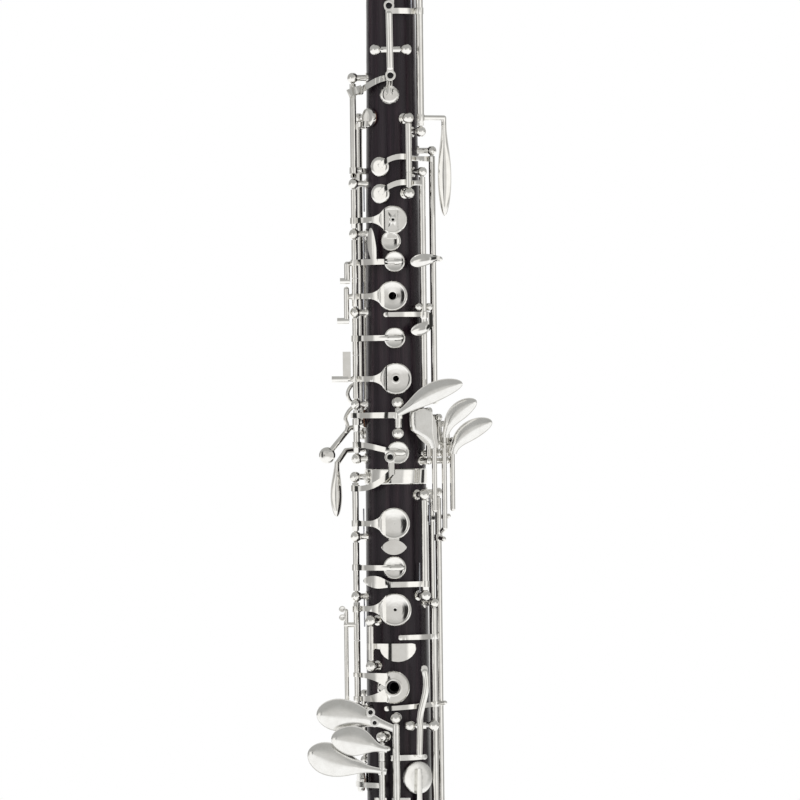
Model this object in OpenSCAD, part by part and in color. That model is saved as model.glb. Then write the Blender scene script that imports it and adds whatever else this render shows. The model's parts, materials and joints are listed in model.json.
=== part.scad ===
// A conservatoire oboe, standing on its bell with the bore along +Z and the front keys facing -Y.
// The origin is the centre of the bell's mouth.
// Most shapes are given by where they are seen from the front: u across, to the right, and z up.

/* [Bore and wood] */
// Height of the line where the two wooden joints meet
joint_z = 360; // [358:1:362]
// Height of the line where the lower joint meets the bell
bell_z = 125; // [123:1:127]
// Overall length without the reed
top_z = 589; // [587:1:592]
// Outer radius of the bell at its rim
bell_r = 28.6; // [27:0.2:31]
// Inner radius of the bell at its mouth
mouth_r = 19; // [18:0.5:20]
// Radius of the well that holds the reed
well_r = 3.5; // [3.3:0.05:3.7]
// Depth of the reed well
well_depth = 22; // [20:1:24]

/* [Keywork] */
// Outer radius of a hinge tube
tube_r = 1.4; // [1.3:0.05:1.5]
// Radius of the steel rod inside a hinge tube
rod_r = 0.8; // [0.7:0.05:0.85]
// Radial running clearance between a rod and its tube
run_gap = 0.05; // [0.03:0.01:0.08]
// Radius of a post's ball
ball_r = 2.35; // [2.2:0.05:2.5]
// Gap under the pad of a key that stands open
open_gap = 1.5; // [1.4:0.1:1.8]
// Gap under the pad of a key that stands closed
shut_gap = 0.05; // [0.04:0.01:0.1]

/* [Hidden] */
$fn = 32;

// Heights of the keys
octave2_z = 565.5;
rocker_z = 538.9;
octave1_z = 520;
side_trill_z = 510.5;
trill1_z = 489.2;
trill2_z = 477.6;
lh1_z = 466.4;
c_vent_z = 448.4;
lh2_z = 433.8;
b_flat_z = 415.8;
lh3_z = 398.4;
g_sharp_z = 381.5;
bridge_vent_z = 366.8;
rh1_z = 336.5;
small_vent_z = 317.6;
a_flat_z = 312.7;
rh2_z = 299.7;
f_z = 281.3;
ring_z = 266.5;
foot_z = 250.1;
c_sharp_z = 227.6;
c_z = 226;
low_b_z = 168;
bell_cup_z = 78.4;

// Hinge axes, as [x, y]
axis_lh = [-16.6, -3.6];
axis_side_trill = [-14.3, 9.4];
axis_back_trill = [-12.0, 12.4];
axis_octave = [12.3, -10.6];
axis_trill = [7.0, -14.3];
axis_right_outer = [17.0, -1.5];
axis_right_inner = [12.7, -11.2];
axis_g_sharp = [1.3, -18.6];
axis_left_e_flat = [14.4, -10.4];
axis_left_b = [18.6, -8.0];
axis_left_b_flat = [22.0, -5.0];
axis_rh = [-17.4, -4.6];
axis_a_flat = [12.0, -13.6];
axis_f = [-11.4, -14.6];
axis_f_link = [15.6, -9.0];
axis_c_sharp = [-1.1, -18.8];
axis_little = [-7.2, -17.4];
axis_e_flat_cup = [-14.6, 10.9];
axis_low_b = [18.0, -2.4];
axis_low_b_flat = [15.0, 10.2];
axis_bell = [20.4, -5.6];
// The two rods that lie across the front
rocker_y = -18.0;
foot_y = -17.8;

// Colours of the parts when they are looked at alone
dark_wood = [0.16, 0.13, 0.14];
silver = [0.86, 0.85, 0.82];
post_silver = [0.8, 0.79, 0.76];
pad_skin = [0.87, 0.83, 0.74];
pad_cork = [0.72, 0.5, 0.32];

// Wood radius against height, from the bell's shoulder up to the head
wood = [[bell_z, 14.6], [150, 14.3], [219, 13.8], [joint_z, 13.0], [372, 12.7], [411, 12.1], [470, 11.5],
        [490, 11.2], [516, 10.85], [535, 10.7], [559, 10.5], [572, 10.35]];
// The same for the bell, from the rim up
bell_line = [[0, bell_r - 0.5], [1, bell_r], [4, bell_r], [9, 27], [22, 23.6], [40, 19.4], [58, 16.4],
             [72, 15.0], [92, 14.2], [106, 14.6], [110, 15.8], [120, 16]];
seat_h = 0.15;      // how far a tone hole's rim stands above the wood
seat_wall = 1.1;    // wall of that rim
pad_out = 0.6;      // how far a pad stands out of its cup
cup_depth = 1.2;    // depth of a cup's recess
cup_wall = 0.45;    // and its wall
cup_h = 1.95;       // height of a cup
collar_r = 1.85;    // collar where an arm meets its tube
collar_h = 2.6;
head_line = [[572, 10.35], [575, 11.4], [578, 13.1], [581, 13.4], [584, 12.4], [586, 10.8]];
ring_h = 2;         // height of the metal ring on the head
tenon_h = 20;
tenon_r = 8.2;
cork_t = 0.7;
bell_tenon_r = 9.6;
step_gap = 0.25;    // end gap between a tenon and the bottom of its socket
liner_t = 0.6;

function wood_r(z) = z < bell_z ? lookup(z, bell_line) : lookup(z, wood);
function lean(u, z) = asin(u / (wood_r(z) + 3));
// Bore radius against height
bore_line = [[0, mouth_r], [3, mouth_r], [12, 17.2], [40, 12.6], [80, 9.6], [bell_z, 7.8],
             [joint_z - tenon_h, 5.0], [top_z - well_depth, 2.1]];
function bore_r(z) = lookup(z, bore_line);

// ---- small shapes ----

// Places children so that -Y points out of the wood at an angle from the front
module facing(phi, z) {
    translate([0, 0, z]) rotate([0, 0, phi]) children();
}

// A straight round bar with ball ends
module bar(p, q, r) {
    d = q - p;
    translate(p) rotate([0, acos(d.z / norm(d)), atan2(d.y, d.x)]) cylinder(h = norm(d), r = r);
    translate(p) sphere(r = r * 1.01);
    translate(q) sphere(r = r * 1.01);
}

function bezier(p, t) = p[0] * pow(1 - t, 3) + p[1] * 3 * t * pow(1 - t, 2)
                      + p[2] * 3 * t * t * (1 - t) + p[3] * pow(t, 3);
function heading(p, t) = (p[1] - p[0]) * pow(1 - t, 2) + (p[2] - p[1]) * 2 * t * (1 - t)
                       + (p[3] - p[2]) * t * t;
function left_of(p, t) = let (d = heading(p, t)) [-d.y, d.x] / norm(d);

// A flat strip along a curve, with half-widths w0 and w1 at its ends
module ribbon(p, w0, w1, n = 8) {
    w = function (t) w0 + (w1 - w0) * t * t;
    polygon(concat([for (i = [0:n]) bezier(p, i / n) + left_of(p, i / n) * w(i / n)],
                   [for (i = [n:-1:0]) bezier(p, i / n) - left_of(p, i / n) * w(i / n)]));
}

// A leaf along a curve, from half-width w0 to w1 and round at its far end; a higher swell makes it
// stay narrow longer. The steps get shorter towards the round end.
module leaf(p, w0, w1, widest = 0.68, swell = 1, n = 22) {
    w = function (t) t < widest ? w0 + (w1 - w0) * pow((1 - cos(180 * t / widest)) / 2, swell)
                                : w1 * sqrt(max(1 - pow((t - widest) / (1 - widest), 2), 0));
    ts = [for (i = [0:n]) sin(90 * i / n)];
    polygon(concat([for (t = ts) bezier(p, t) + left_of(p, t) * w(t)],
                   [for (i = [n - 1:-1:0]) bezier(p, ts[i]) - left_of(p, ts[i]) * w(ts[i])]));
}

function line(a, b) = [a, a + (b - a) / 3, a + (b - a) * 2 / 3, b];

// An outline drawn from the front, bent round the wood between two heights above it
module strap(z, low, high, span = 16, behind = 0) {
    intersection() {
        translate([0, behind, 0]) rotate([90, 0, 0]) linear_extrude(60) children();
        translate([0, 0, z - span]) difference() {
            cylinder(h = 2 * span, r = wood_r(z) + high, $fn = 64);
            translate([0, 0, -1]) cylinder(h = 2 * span + 2, r = wood_r(z) + low, $fn = 64);
        }
    }
}

// An arm bent round the wood from one angle to another
module arc_arm(low, high, from, to, z, h) {
    rotate([0, 0, from - 90]) rotate_extrude(angle = to - from, $fn = 64)
        translate([low, z - h / 2]) square([high - low, h]);
}

// A key on a tube along +Z, with its rod's hole cut through everything
module key(at, z0, z1) {
    difference() {
        union() {
            translate([at.x, at.y, z0]) cylinder(h = z1 - z0, r = tube_r);
            children();
        }
        translate([at.x, at.y, z0 - 3]) cylinder(h = z1 - z0 + 6, r = rod_r + run_gap);
    }
}

module collar(at, z, h = collar_h) {
    translate([at.x, at.y, z - h / 2]) cylinder(h = h, r = collar_r);
}

// Radius of a cup's rim above the bore's axis
function rim_r(z, gap) = wood_r(z) + seat_h + gap + pad_out;

module at_cup(u, z, gap) {
    facing(lean(u, z), z) translate([0, -rim_r(z, gap), 0]) rotate([90, 0, 0]) children();
}

// The same for a cup at an angle from the front
module side_cup(phi, z, gap) {
    facing(phi, z) translate([0, -rim_r(z, gap), 0]) rotate([90, 0, 0]) children();
}

// A turned pad cup with a nearly flat top, open side down
module cup_body(r) {
    rotate_extrude()
        polygon([[0, cup_depth], [r - cup_wall, cup_depth], [r - cup_wall, 0], [r, 0], [r, 1.3],
                 [r - 0.3, 1.7], [r * 0.72, cup_h], [0, cup_h + 0.1]]);
}

module cup(u, z, r, gap) {
    at_cup(u, z, gap) cup_body(r);
}

// Points of a shallow dish, from its edge in to a hole
function dish(r, hole, floor, depth) = [for (s = [1, 0.75, 0.5, 0.25]) if (r * s > hole + 0.3)
                                            [r * s, floor + depth * s * s]];

// A vent cup, whose top is dished inside a rim
module vent_cup(u, z, r, gap) {
    at_cup(u, z, gap) rotate_extrude()
        polygon(concat([[0, cup_depth], [r - cup_wall, cup_depth], [r - cup_wall, 0], [r, 0], [r, 1.6],
                        [r - 0.3, 2], [r - 0.6, 2]],
                       dish(r - 0.9, 0, 1.55, 0.35), [[0, 1.55]]));
}

// A finger plate: a wide cup with a dished top and a hole through it
module plate(u, z, r, hole, gap, floor = 1.65, depth = 0.5) {
    at_cup(u, z, gap) rotate_extrude()
        polygon(concat([[hole, cup_depth], [r - 0.5, cup_depth], [r - 0.5, 0], [r, 0], [r, 1.8],
                        [r - 0.3, 2.2], [r - 0.65, 2.25]],
                       dish(r - 0.9, hole, floor, depth), [[hole, floor]]));
}

module pad(u, z, r, hole, gap) {
    at_cup(u, z, gap) translate([0, 0, -pad_out]) difference() {
        cylinder(h = pad_out + cup_depth, r = r - 0.55);
        if (hole > 0) translate([0, 0, -1]) cylinder(h = pad_out + cup_depth + 2, r = hole);
    }
}

// A ball post standing out of the wood, drilled along its rod
module post(at, z, r = ball_r, foot = post_foot) {
    base = wood_r(z) - 1.5;
    reach = norm(at);
    difference() {
        translate([0, 0, z]) rotate([0, 0, atan2(at.y, at.x)]) {
            translate([base, 0, 0]) rotate([0, 90, 0]) cylinder(h = reach - base, r = 1.35);
            translate([base, 0, 0]) rotate([0, 90, 0]) cylinder(h = 2.1, r = foot);
            translate([reach, 0, 0]) sphere(r = r);
        }
        translate([at.x, at.y, z - 6]) cylinder(h = 12, r = rod_r);
    }
}

// A ball post for a rod that lies across the front
module cross_post(u, y, z) {
    base = wood_r(z) - 1.5;
    difference() {
        union() {
            translate([u, y, z]) rotate([0, 90, 0]) sphere(r = ball_r);
            translate([0, 0, z]) rotate([0, 0, atan2(y, u)]) translate([base, 0, 0])
                rotate([0, 90, 0]) cylinder(h = norm([u, y]) - base, r = 1.3);
        }
        translate([u - 6, y, z]) rotate([0, 90, 0]) cylinder(h = 12, r = rod_r);
    }
}

// A small ball post that stands beside a long tube to keep it from bowing
module guide(at, z) {
    base = wood_r(z) - 1.5;
    reach = norm(at);
    translate([0, 0, z]) rotate([0, 0, atan2(at.y, at.x)]) {
        translate([base, 0, 0]) rotate([0, 90, 0]) cylinder(h = reach - base, r = 1);
        translate([reach, 0, 0]) sphere(r = 1.65);
    }
}

// A tone hole: a low rim round it, or the drilling itself
module tone_rim(u, z, hole) {
    facing(lean(u, z), z) rotate([90, 0, 0])
        translate([0, 0, wood_r(z) - 2.5]) cylinder(h = 2.5 + seat_h, r = hole + seat_wall);
}
module tone_drill(u, z, hole) {
    facing(lean(u, z), z) rotate([90, 0, 0]) cylinder(h = wood_r(z) + 4, r = hole);
}
module tone_rim_at(phi, z, hole) {
    facing(phi, z) rotate([90, 0, 0])
        translate([0, 0, wood_r(z) - 2.5]) cylinder(h = 2.5 + seat_h, r = hole + seat_wall);
}
module tone_drill_at(phi, z, hole) {
    facing(phi, z) rotate([90, 0, 0]) cylinder(h = wood_r(z) + 4, r = hole);
}

// ---- where the tone holes are: [u, z, hole radius] on the front ----
upper_holes = [[0.5, octave2_z, 0.8], [-0.9, octave1_z, 0.9], [-5.7, trill1_z, 1.7], [-5.6, trill2_z, 1.7],
               [0, lh1_z, 1.4], [0.5, c_vent_z, 2.0], [-0.5, lh2_z, 2.4], [0.2, b_flat_z, 2.2],
               [0.5, lh3_z, 2.7], [1.0, bridge_vent_z, 1.8]];
lower_holes = [[-0.9, rh1_z, 3.2], [-0.9, small_vent_z, 2.2], [-0.9, rh2_z, 3.6], [0.4, f_z, 2.4],
               [-2.0, ring_z, 2.0], [8.7, c_sharp_z, 4.0], [0, low_b_z, 4.4]];
side_trill_phi = -52;
g_sharp_phi = -100.5;
back_trill_phi = -158;
back_trill_z = 452;
c_phi = -80;
e_flat_phi = -150;
e_flat_z = 246;

// ---- wood, rings and corks ----

module upper_joint() {
    color(dark_wood) difference() {
        union() {
            rotate_extrude($fn = 96) polygon(concat(
                [[bore_r(joint_z - tenon_h), joint_z - tenon_h], [tenon_r, joint_z - tenon_h],
                 [tenon_r, joint_z], [wood_r(joint_z), joint_z]],
                [for (p = wood) if (p[0] > joint_z && p[0] < 572) [p[1], p[0]]],
                [for (p = head_line) [p[1], p[0]]],
                [[8.4, 586], [8.4, top_z - 0.6], [well_r + liner_t, top_z - 0.6],
                 [well_r + liner_t, top_z - well_depth],
                 [bore_r(top_z - well_depth), top_z - well_depth]]));
            for (h = upper_holes) tone_rim(h[0], h[1], h[2]);
            tone_rim_at(side_trill_phi, side_trill_z, 1.6);
            tone_rim_at(g_sharp_phi, g_sharp_z, 2.6);
            tone_rim_at(back_trill_phi, back_trill_z, 2.0);
        }
        for (h = upper_holes) tone_drill(h[0], h[1], h[2]);
        tone_drill_at(side_trill_phi, side_trill_z, 1.6);
        tone_drill_at(g_sharp_phi, g_sharp_z, 2.6);
        tone_drill_at(back_trill_phi, back_trill_z, 2.0);
    }
}

module lower_joint() {
    socket = joint_z - tenon_h - step_gap;
    color(dark_wood) difference() {
        union() {
            rotate_extrude($fn = 96) polygon(concat(
                [[bore_r(bell_z - tenon_h), bell_z - tenon_h], [bell_tenon_r, bell_z - tenon_h],
                 [bell_tenon_r, bell_z]],
                [for (p = wood) if (p[0] < joint_z - 8) [p[1], p[0]]],
                [[wood_r(joint_z - 7), joint_z - 7], [wood_r(joint_z - 7) - 1, joint_z - 7],
                 [wood_r(joint_z - 7) - 1, joint_z],
                 [tenon_r + cork_t, joint_z], [tenon_r + cork_t, socket], [bore_r(socket), socket]]));
            for (h = lower_holes) tone_rim(h[0], h[1], h[2]);
            tone_rim_at(c_phi, c_z, 3.4);
            tone_rim_at(e_flat_phi, e_flat_z, 3.0);
        }
        for (h = lower_holes) tone_drill(h[0], h[1], h[2]);
        tone_drill_at(c_phi, c_z, 3.4);
        tone_drill_at(e_flat_phi, e_flat_z, 3.0);
    }
}

module bell() {
    socket = bell_z - tenon_h - step_gap;
    color(dark_wood) difference() {
        union() {
            rotate_extrude($fn = 96) polygon(concat(
                [[mouth_r, 0], [bell_r - 0.5, 0]],
                [for (p = bell_line) if (p[0] > 0) [p[1], p[0]]],
                [[bell_line[len(bell_line) - 1][1], bell_z - 4], [15, bell_z - 4], [15, bell_z],
                 [bell_tenon_r + cork_t, bell_z], [bell_tenon_r + cork_t, socket], [bore_r(socket), socket],
                 [bore_r(80), 80], [bore_r(40), 40], [bore_r(12), 12], [mouth_r, 3]]));
            tone_rim(0, bell_cup_z, 4.6);
        }
        tone_drill(0, bell_cup_z, 4.6);
    }
}

// Ring turned round the axis, from radius a to b and height z0 to z1, its outer edges rounded off
module ring(a, b, z0, z1, soft = 0.5) {
    rotate_extrude($fn = 96) polygon([[a, z0], [b - soft, z0], [b, z0 + soft], [b, z1 - soft],
                                      [b - soft, z1], [a, z1]]);
}

module metal_rings() {
    color([0.82, 0.81, 0.78]) {
        ring(8.4, 10.3, 586, top_z);
        difference() {
            ring(wood_r(joint_z - 7) - 1, wood_r(joint_z) + 0.45, joint_z - 7, joint_z - 0.1);
            // One post stands in a hole through this ring
            translate([0, 0, post_rh[0]]) rotate([0, 0, atan2(axis_rh.y, axis_rh.x)])
                rotate([0, 90, 0]) cylinder(h = 20, r = post_foot + run_gap);
        }
        ring(15, 16.6, bell_z - 4, bell_z - 0.1);
    }
}

module reed_liner() {
    color([0.75, 0.74, 0.72]) difference() {
        translate([0, 0, top_z - well_depth]) cylinder(h = well_depth - 0.6, r = well_r + liner_t);
        translate([0, 0, top_z - well_depth - 1]) cylinder(h = well_depth + 2, r = well_r);
    }
}

module tenon_corks() {
    color([0.78, 0.6, 0.42]) {
        ring(tenon_r, tenon_r + cork_t, joint_z - tenon_h + 2, joint_z - 2, 0.2);
        ring(bell_tenon_r, bell_tenon_r + cork_t, bell_z - tenon_h + 2, bell_z - 2, 0.2);
    }
}

// ---- posts, rods and springs ----
post_foot = 2.2;    // radius of a post's flange
post_lh = [364.2, 387.6, 427, 460.7, 482.3, 527.7];
post_rh = [356.4, 330.8, 305.1, 257.2];
octave_top = 568.6;

module upper_posts() {
    color(post_silver) {
        for (z = post_lh) post(axis_lh, z);
        for (z = [504.1, octave_top]) post(axis_octave, z);
        for (z = [477.7, 509.8]) post(axis_trill, z);
        for (z = [496.2, 389.2]) post(axis_right_outer, z, 2.1);
        for (z = [486.9, 389.2]) post(axis_right_inner, z, 2.1);
        for (z = [388.2, 375]) post(axis_g_sharp, z);
        for (z = [374.4, 511.2]) post(axis_side_trill, z, 2.1);
        for (z = [364.6, 459.4]) post(axis_back_trill, z, 2.1);
        for (z = [384.4, 363]) post(axis_left_e_flat, z, 1.7, 1.8);
        for (z = [381.6, 366.2]) post(axis_left_b, z, 1.7, 1.8);
        for (z = [378.8, 363]) post(axis_left_b_flat, z, 1.7, 1.8);
        for (u = [-6.7, 6.5]) cross_post(u, rocker_y, rocker_z);
        for (p = [[10.4, -13.4], [14.9, -9.0]]) guide(p, 429);
    }
}

module lower_posts() {
    color(post_silver) {
        for (z = post_rh) post(axis_rh, z);
        for (z = [348.6, 305.5]) post(axis_a_flat, z);
        for (z = [295.0, 275.6]) post(axis_f, z);
        for (z = [302.2, 206]) post(axis_f_link, z, 2.1);
        for (z = [253.4, 206]) post(axis_c_sharp, z);
        for (z = [245.4, 214]) post(axis_little, z);
        for (z = [262.4, 234]) post(axis_e_flat_cup, z, 2.1);
        for (z = [349.4, 158]) post(axis_low_b, z, 2.1);
        for (z = [346.4, 136]) post(axis_low_b_flat, z, 2.1);
        for (u = [4.9, 15]) cross_post(u, foot_y, foot_z);
    }
}

module bell_posts() {
    color(post_silver) for (z = [66, 112]) post(axis_bell, z, 2.1);
}

// Every steel rod, as [axis, bottom, top]
rods = [[axis_lh, 362.6, 529.4], [axis_octave, 502.4, 570.4], [axis_trill, 476.1, 511.4],
        [axis_right_outer, 387.8, 497.8], [axis_right_inner, 387.8, 488.5], [axis_g_sharp, 373.4, 389.8],
        [axis_side_trill, 373, 512.6], [axis_back_trill, 363.2, 460.8], [axis_left_e_flat, 361.8, 385.6],
        [axis_left_b, 365, 382.8], [axis_left_b_flat, 361.8, 380], [axis_rh, 255.6, 358],
        [axis_a_flat, 303.9, 350.2], [axis_f, 274, 296.6], [axis_f_link, 204.6, 303.6],
        [axis_c_sharp, 204.4, 255], [axis_little, 212.4, 247], [axis_e_flat_cup, 232.6, 263.8],
        [axis_low_b, 156.6, 350.8], [axis_low_b_flat, 134.6, 347.8], [axis_bell, 64.6, 113.4]];

module hinge_rods() {
    color([0.72, 0.71, 0.69]) {
        for (r = rods) translate([r[0].x, r[0].y, r[1]]) cylinder(h = r[2] - r[1], r = rod_r);
        translate([-8.4, rocker_y, rocker_z]) rotate([0, 90, 0]) cylinder(h = 16.6, r = rod_r);
        translate([3.2, foot_y, foot_z]) rotate([0, 90, 0]) cylinder(h = 13.5, r = rod_r);
    }
}

// Blued needle springs lie under the tubes, as [axis, height at the post, length]
springs = [[axis_lh, 427, 13], [axis_lh, 460.7, -13], [axis_lh, 482.3, -12], [axis_lh, 387.6, 12],
           [axis_octave, 568.6, -14], [axis_rh, 330.8, 12], [axis_rh, 305.1, -13], [axis_a_flat, 305.5, 14],
           [axis_low_b, 349.4, -14]];
module needle_springs() {
    color([0.2, 0.22, 0.3]) for (s = springs) {
        r = wood_r(s[1]) + 1.3;
        at = s[0] * r / norm(s[0]);
        translate([at.x, at.y, min(s[1], s[1] + s[2])]) cylinder(h = abs(s[2]), r = 0.3);
    }
}

rest_z = 318;
module thumb_rest() {
    r = wood_r(rest_z);
    color(post_silver) difference() {
        union() {
            arc_arm(r - 0.1, r + 1.5, 158, 202, rest_z, 30);
            facing(180, rest_z + 6) translate([-6, -r - 13, -1.2]) cube([12, 13, 2.4]);
            facing(180, rest_z + 6) translate([0, -r - 13, -1.2]) cylinder(h = 2.4, r = 6);
            facing(180, rest_z - 9) translate([0, -r - 0.6, 0]) rotate([90, 0, 0]) cylinder(h = 5, r = 1.6);
            facing(180, rest_z - 9) translate([-1.2, -r - 8.2, 0]) rotate([0, 90, 0])
                cylinder(h = 2.4, r = 4);
        }
        facing(180, rest_z - 9) translate([-3, -r - 8.2, 0]) rotate([0, 90, 0])
            cylinder(h = 6, r = 2.6);
        for (z = [rest_z - 1, rest_z + 12]) facing(180, z) rotate([90, 0, 0])
            cylinder(h = r + 4, r = 1.2);
    }
}

// ---- shared parts of the keys ----

low_arm = [2.4, 4.0];   // heights above the wood of an arm on a key that stands closed
high_arm = [3.7, 5.2];  // and on one that stands open

// A short stud from a low arm out to its tube
module lug(at, z, low = 2.6, r = 1.15) {
    near = at * (wood_r(z) + low) / norm(at);
    bar([near.x, near.y, z], [at.x, at.y, z], r);
}

// A stud from a tube outward to a touch that passes over its neighbours
module riser(at, z, out, r = 1.15) {
    far = at * (wood_r(z) + out) / norm(at);
    bar([at.x, at.y, z], [far.x, far.y, z], r);
}

// An arm that opens out to meet a round plate, drawn from the front
module flared(u0, u1, z, w0, w1) {
    ribbon(line([u0, z], [u1, z]), w0, w1);
}

// An arm from the tube on the left to a plate of radius r at u
module plate_arm(at, u, z, r, heights = high_arm) {
    strap(z, heights[0], heights[1], r + 2, behind = at.y) union() {
        flared(at.x - 0.5, u - r * 0.62, z, 1.15, 1.2);
        flare_tip(u, z, r);
    }
}

// The spreading end of a plate arm, with hollow sides
module flare_tip(u, z, r, n = 7) {
    from = u - r - 4.2;
    to = u - r * 0.55;
    w = function (t) 1.15 + (r * 0.82 - 1.15) * pow(t, 2.2);
    polygon(concat([for (i = [0:n]) [from + (to - from) * i / n, z + w(i / n)]],
                   [for (i = [n:-1:0]) [from + (to - from) * i / n, z - w(i / n)]]));
}

// An adjusting screw in its barrel, lying across the front from u0 to u1
module barrel_screw(u0, u1, y, z, r = 1.35) {
    difference() {
        translate([u0, y, z]) rotate([0, 90, 0]) cylinder(h = u1 - u0, r = r);
        translate([u0 - 1, y, z]) rotate([0, 90, 0]) cylinder(h = 1.8, r = r - 0.45);
    }
}

// A screw seen end on from the front, in a ring of radius r
module front_screw(u, y, z, r = 2.3, h = 2.4) {
    translate([u, y, z]) rotate([90, 0, 0]) difference() {
        cylinder(h = h, r = r);
        translate([0, 0, h - 1]) cylinder(h = 2, r = r - 0.9);
    }
}

// An outline drawn from the front, y0 to y1 deep
module plank(y0, y1) {
    translate([0, y1, 0]) rotate([90, 0, 0]) linear_extrude(y1 - y0) children();
}

// ---- keys of the upper joint ----

module octave_side_key() {
    color(silver) key(axis_octave, 506.6, 566.1) {
        translate([axis_octave.x, axis_octave.y, 506.6]) cylinder(h = 59.5, r = 1.6);
        collar(axis_octave, 555.7, 2.8);
        lug(axis_octave, 555.7);
        strap(558, low_arm[0], low_arm[1]) union() {
            ribbon(line([10.6, 555.7], [0, 555.7]), 1.2, 1.2);
            ribbon(line([0, 554.5], [0.5, octave2_z]), 1.3, 1.3);
        }
        cup(0.5, octave2_z, 4.1, shut_gap);
        collar(axis_octave, 510);
        bar([axis_octave.x, axis_octave.y, 510], [22.3, -6.4, 510], 1.1);
        bar([22.3, -6.4, 510], [22.3, -6.4, 500], 1.1);
        plank(-7.4, -5.4) leaf([[22.3, 507], [22.3, 498], [22.5, 488], [22.2, 468]], 1.1, 2.9);
    }
}

module octave_rocker() {
    color(silver) difference() {
        union() {
            translate([-4.2, rocker_y, rocker_z]) rotate([0, 90, 0]) cylinder(h = 8.1, r = tube_r);
            plank(rocker_y - 1.9, rocker_y + 0.8) union() {
                ribbon(line([-0.7, 557.6], [-0.4, 527.8]), 1.4, 1.4);
                translate([-0.7, 557.6]) circle(r = 2.3);
                translate([-0.4, 527.8]) circle(r = 2.3);
            }
            translate([-0.7, rocker_y + 0.6, 556.2]) rotate([-90, 0, 0]) cylinder(h = 2.4, r = 0.7);
        }
        translate([-6, rocker_y, rocker_z]) rotate([0, 90, 0]) cylinder(h = 12, r = rod_r + run_gap);
        for (p = [[-0.7, 557.6], [-0.4, 527.8]]) translate([p.x, rocker_y - 1.1, p.y])
            rotate([90, 0, 0]) cylinder(h = 2, r = 1.35);
    }
}

module octave_thumb_key() {
    color(silver) key(axis_lh, 484.9, 525.1) {
        collar(axis_lh, 521.6);
        lug(axis_lh, 521.6);
        strap(523, low_arm[0], low_arm[1], behind = -2) union() {
            ribbon([[-14.4, 521.4], [-10, 524], [-6, 527], [-0.6, 527.2]], 1.25, 1.25);
            ribbon(line([-0.7, 528.2], [-0.9, octave1_z]), 1.4, 1.0);
        }
        cup(-0.9, octave1_z, 4.1, shut_gap);
        plank(-5.6, -3.6) ribbon(line([-18.7, 520.9], [-12.6, 523.4]), 1.7, 1.3);
        collar(axis_lh, 488);
        lug(axis_lh, 488);
        arc_arm(wood_r(488) + 2.4, wood_r(488) + 4.0, -182, -77, 488, 2.6);
        facing(180, 488) translate([0, -wood_r(488) - 3.2, 0]) rotate([90, 0, 0])
            cylinder(h = 3.4, r = 1.4);
        facing(180, 490) translate([0, -wood_r(488) - 5.8, 0]) rotate([90, 0, 0])
            linear_extrude(1.6) leaf(line([0, -6], [0, 11]), 2.4, 5.2, 0.5);
    }
}

module side_trill_key() {
    color(silver) key(axis_side_trill, 376.7, 508.9) {
        collar(axis_side_trill, 507.4);
        lug(axis_side_trill, 507.4);
        arc_arm(wood_r(508) + low_arm[0], wood_r(508) + 3.5, -123, side_trill_phi + 8, 507.8, 2.2);
        side_cup(side_trill_phi, side_trill_z, shut_gap) cup_body(4.05);
        collar(axis_side_trill, 378.4);
        bar([axis_side_trill.x, axis_side_trill.y, 378.4], [-19.8, 5.5, 377.2], 1.2);
        bar([-19.8, 5.5, 377.2], [-24.6, 2, 371.5], 1.2);
        bar([-24.6, 2, 371.5], [-28.4, 0, 367], 1.2);
        translate([-29.4, 1.6, 365.8]) rotate([90, 0, 0]) rotate_extrude()
            polygon([[0, 0], [2.4, 0.1], [3.3, 0.9], [3.5, 1.7], [2.8, 2.6], [0, 3]]);
    }
}

module back_trill_key() {
    color(silver) key(axis_back_trill, 366.9, 457.1) {
        collar(axis_back_trill, back_trill_z);
        lug(axis_back_trill, back_trill_z);
        arc_arm(wood_r(back_trill_z) + low_arm[0], wood_r(back_trill_z) + low_arm[1],
                back_trill_phi - 8, -136, back_trill_z, 2.2);
        side_cup(back_trill_phi, back_trill_z, shut_gap) cup_body(4.3);
        collar(axis_back_trill, 368.4);
        bar([axis_back_trill.x, axis_back_trill.y, 368.4], [-21.4, 8.4, 367.6], 1.2);
        bar([-21.4, 8.4, 367.6], [-25.2, 5, 362], 1.2);
        plank(3.9, 6.1) leaf([[-25.2, 363], [-25.6, 356], [-25.9, 350], [-25.6, 339.2]], 1.1, 2.5);
    }
}

module upper_trill_cup() {
    color(silver) key(axis_trill, 486.7, 507.4) {
        strap(491, 2.2, 3.9) ribbon([[7.6, 493], [2, 494.2], [-2, 492.4], [-5.7, trill1_z]], 1.2, 0.9);
        strap(493, 3.2, 5.0) ribbon(line([6, 492.8], [11.6, 492.4]), 1.2, 1.0);
        cup(-5.7, trill1_z, 4.2, shut_gap);
    }
}

module lower_trill_cup() {
    color(silver) key(axis_trill, 480.2, 486.5) {
        strap(480, 2.2, 3.9) ribbon([[7.6, 482.2], [2, 483], [-2, 480.8], [-5.6, trill2_z]], 1.2, 0.9);
        strap(482, 3.2, 5.0) ribbon(line([6, 482], [10.2, 482]), 1.2, 1.0);
        cup(-5.6, trill2_z, 4.2, shut_gap);
    }
}

module upper_trill_lever() {
    color(silver) key(axis_right_outer, 391.5, 493.9) {
        strap(492, 5.4, 6.7, behind = -1.5) ribbon(line([17.5, 492.4], [10.4, 492.4]), 1.1, 1.0);
        collar(axis_right_outer, 449.6);
        riser(axis_right_outer, 449.6, 8.4);
        strap(449, 7.6, 9.0, behind = -1)
            leaf([[19.9, 450], [17.5, 449.8], [12, 449], [7.3, 447.6]], 0.9, 2.7, 0.7);
    }
}

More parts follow.
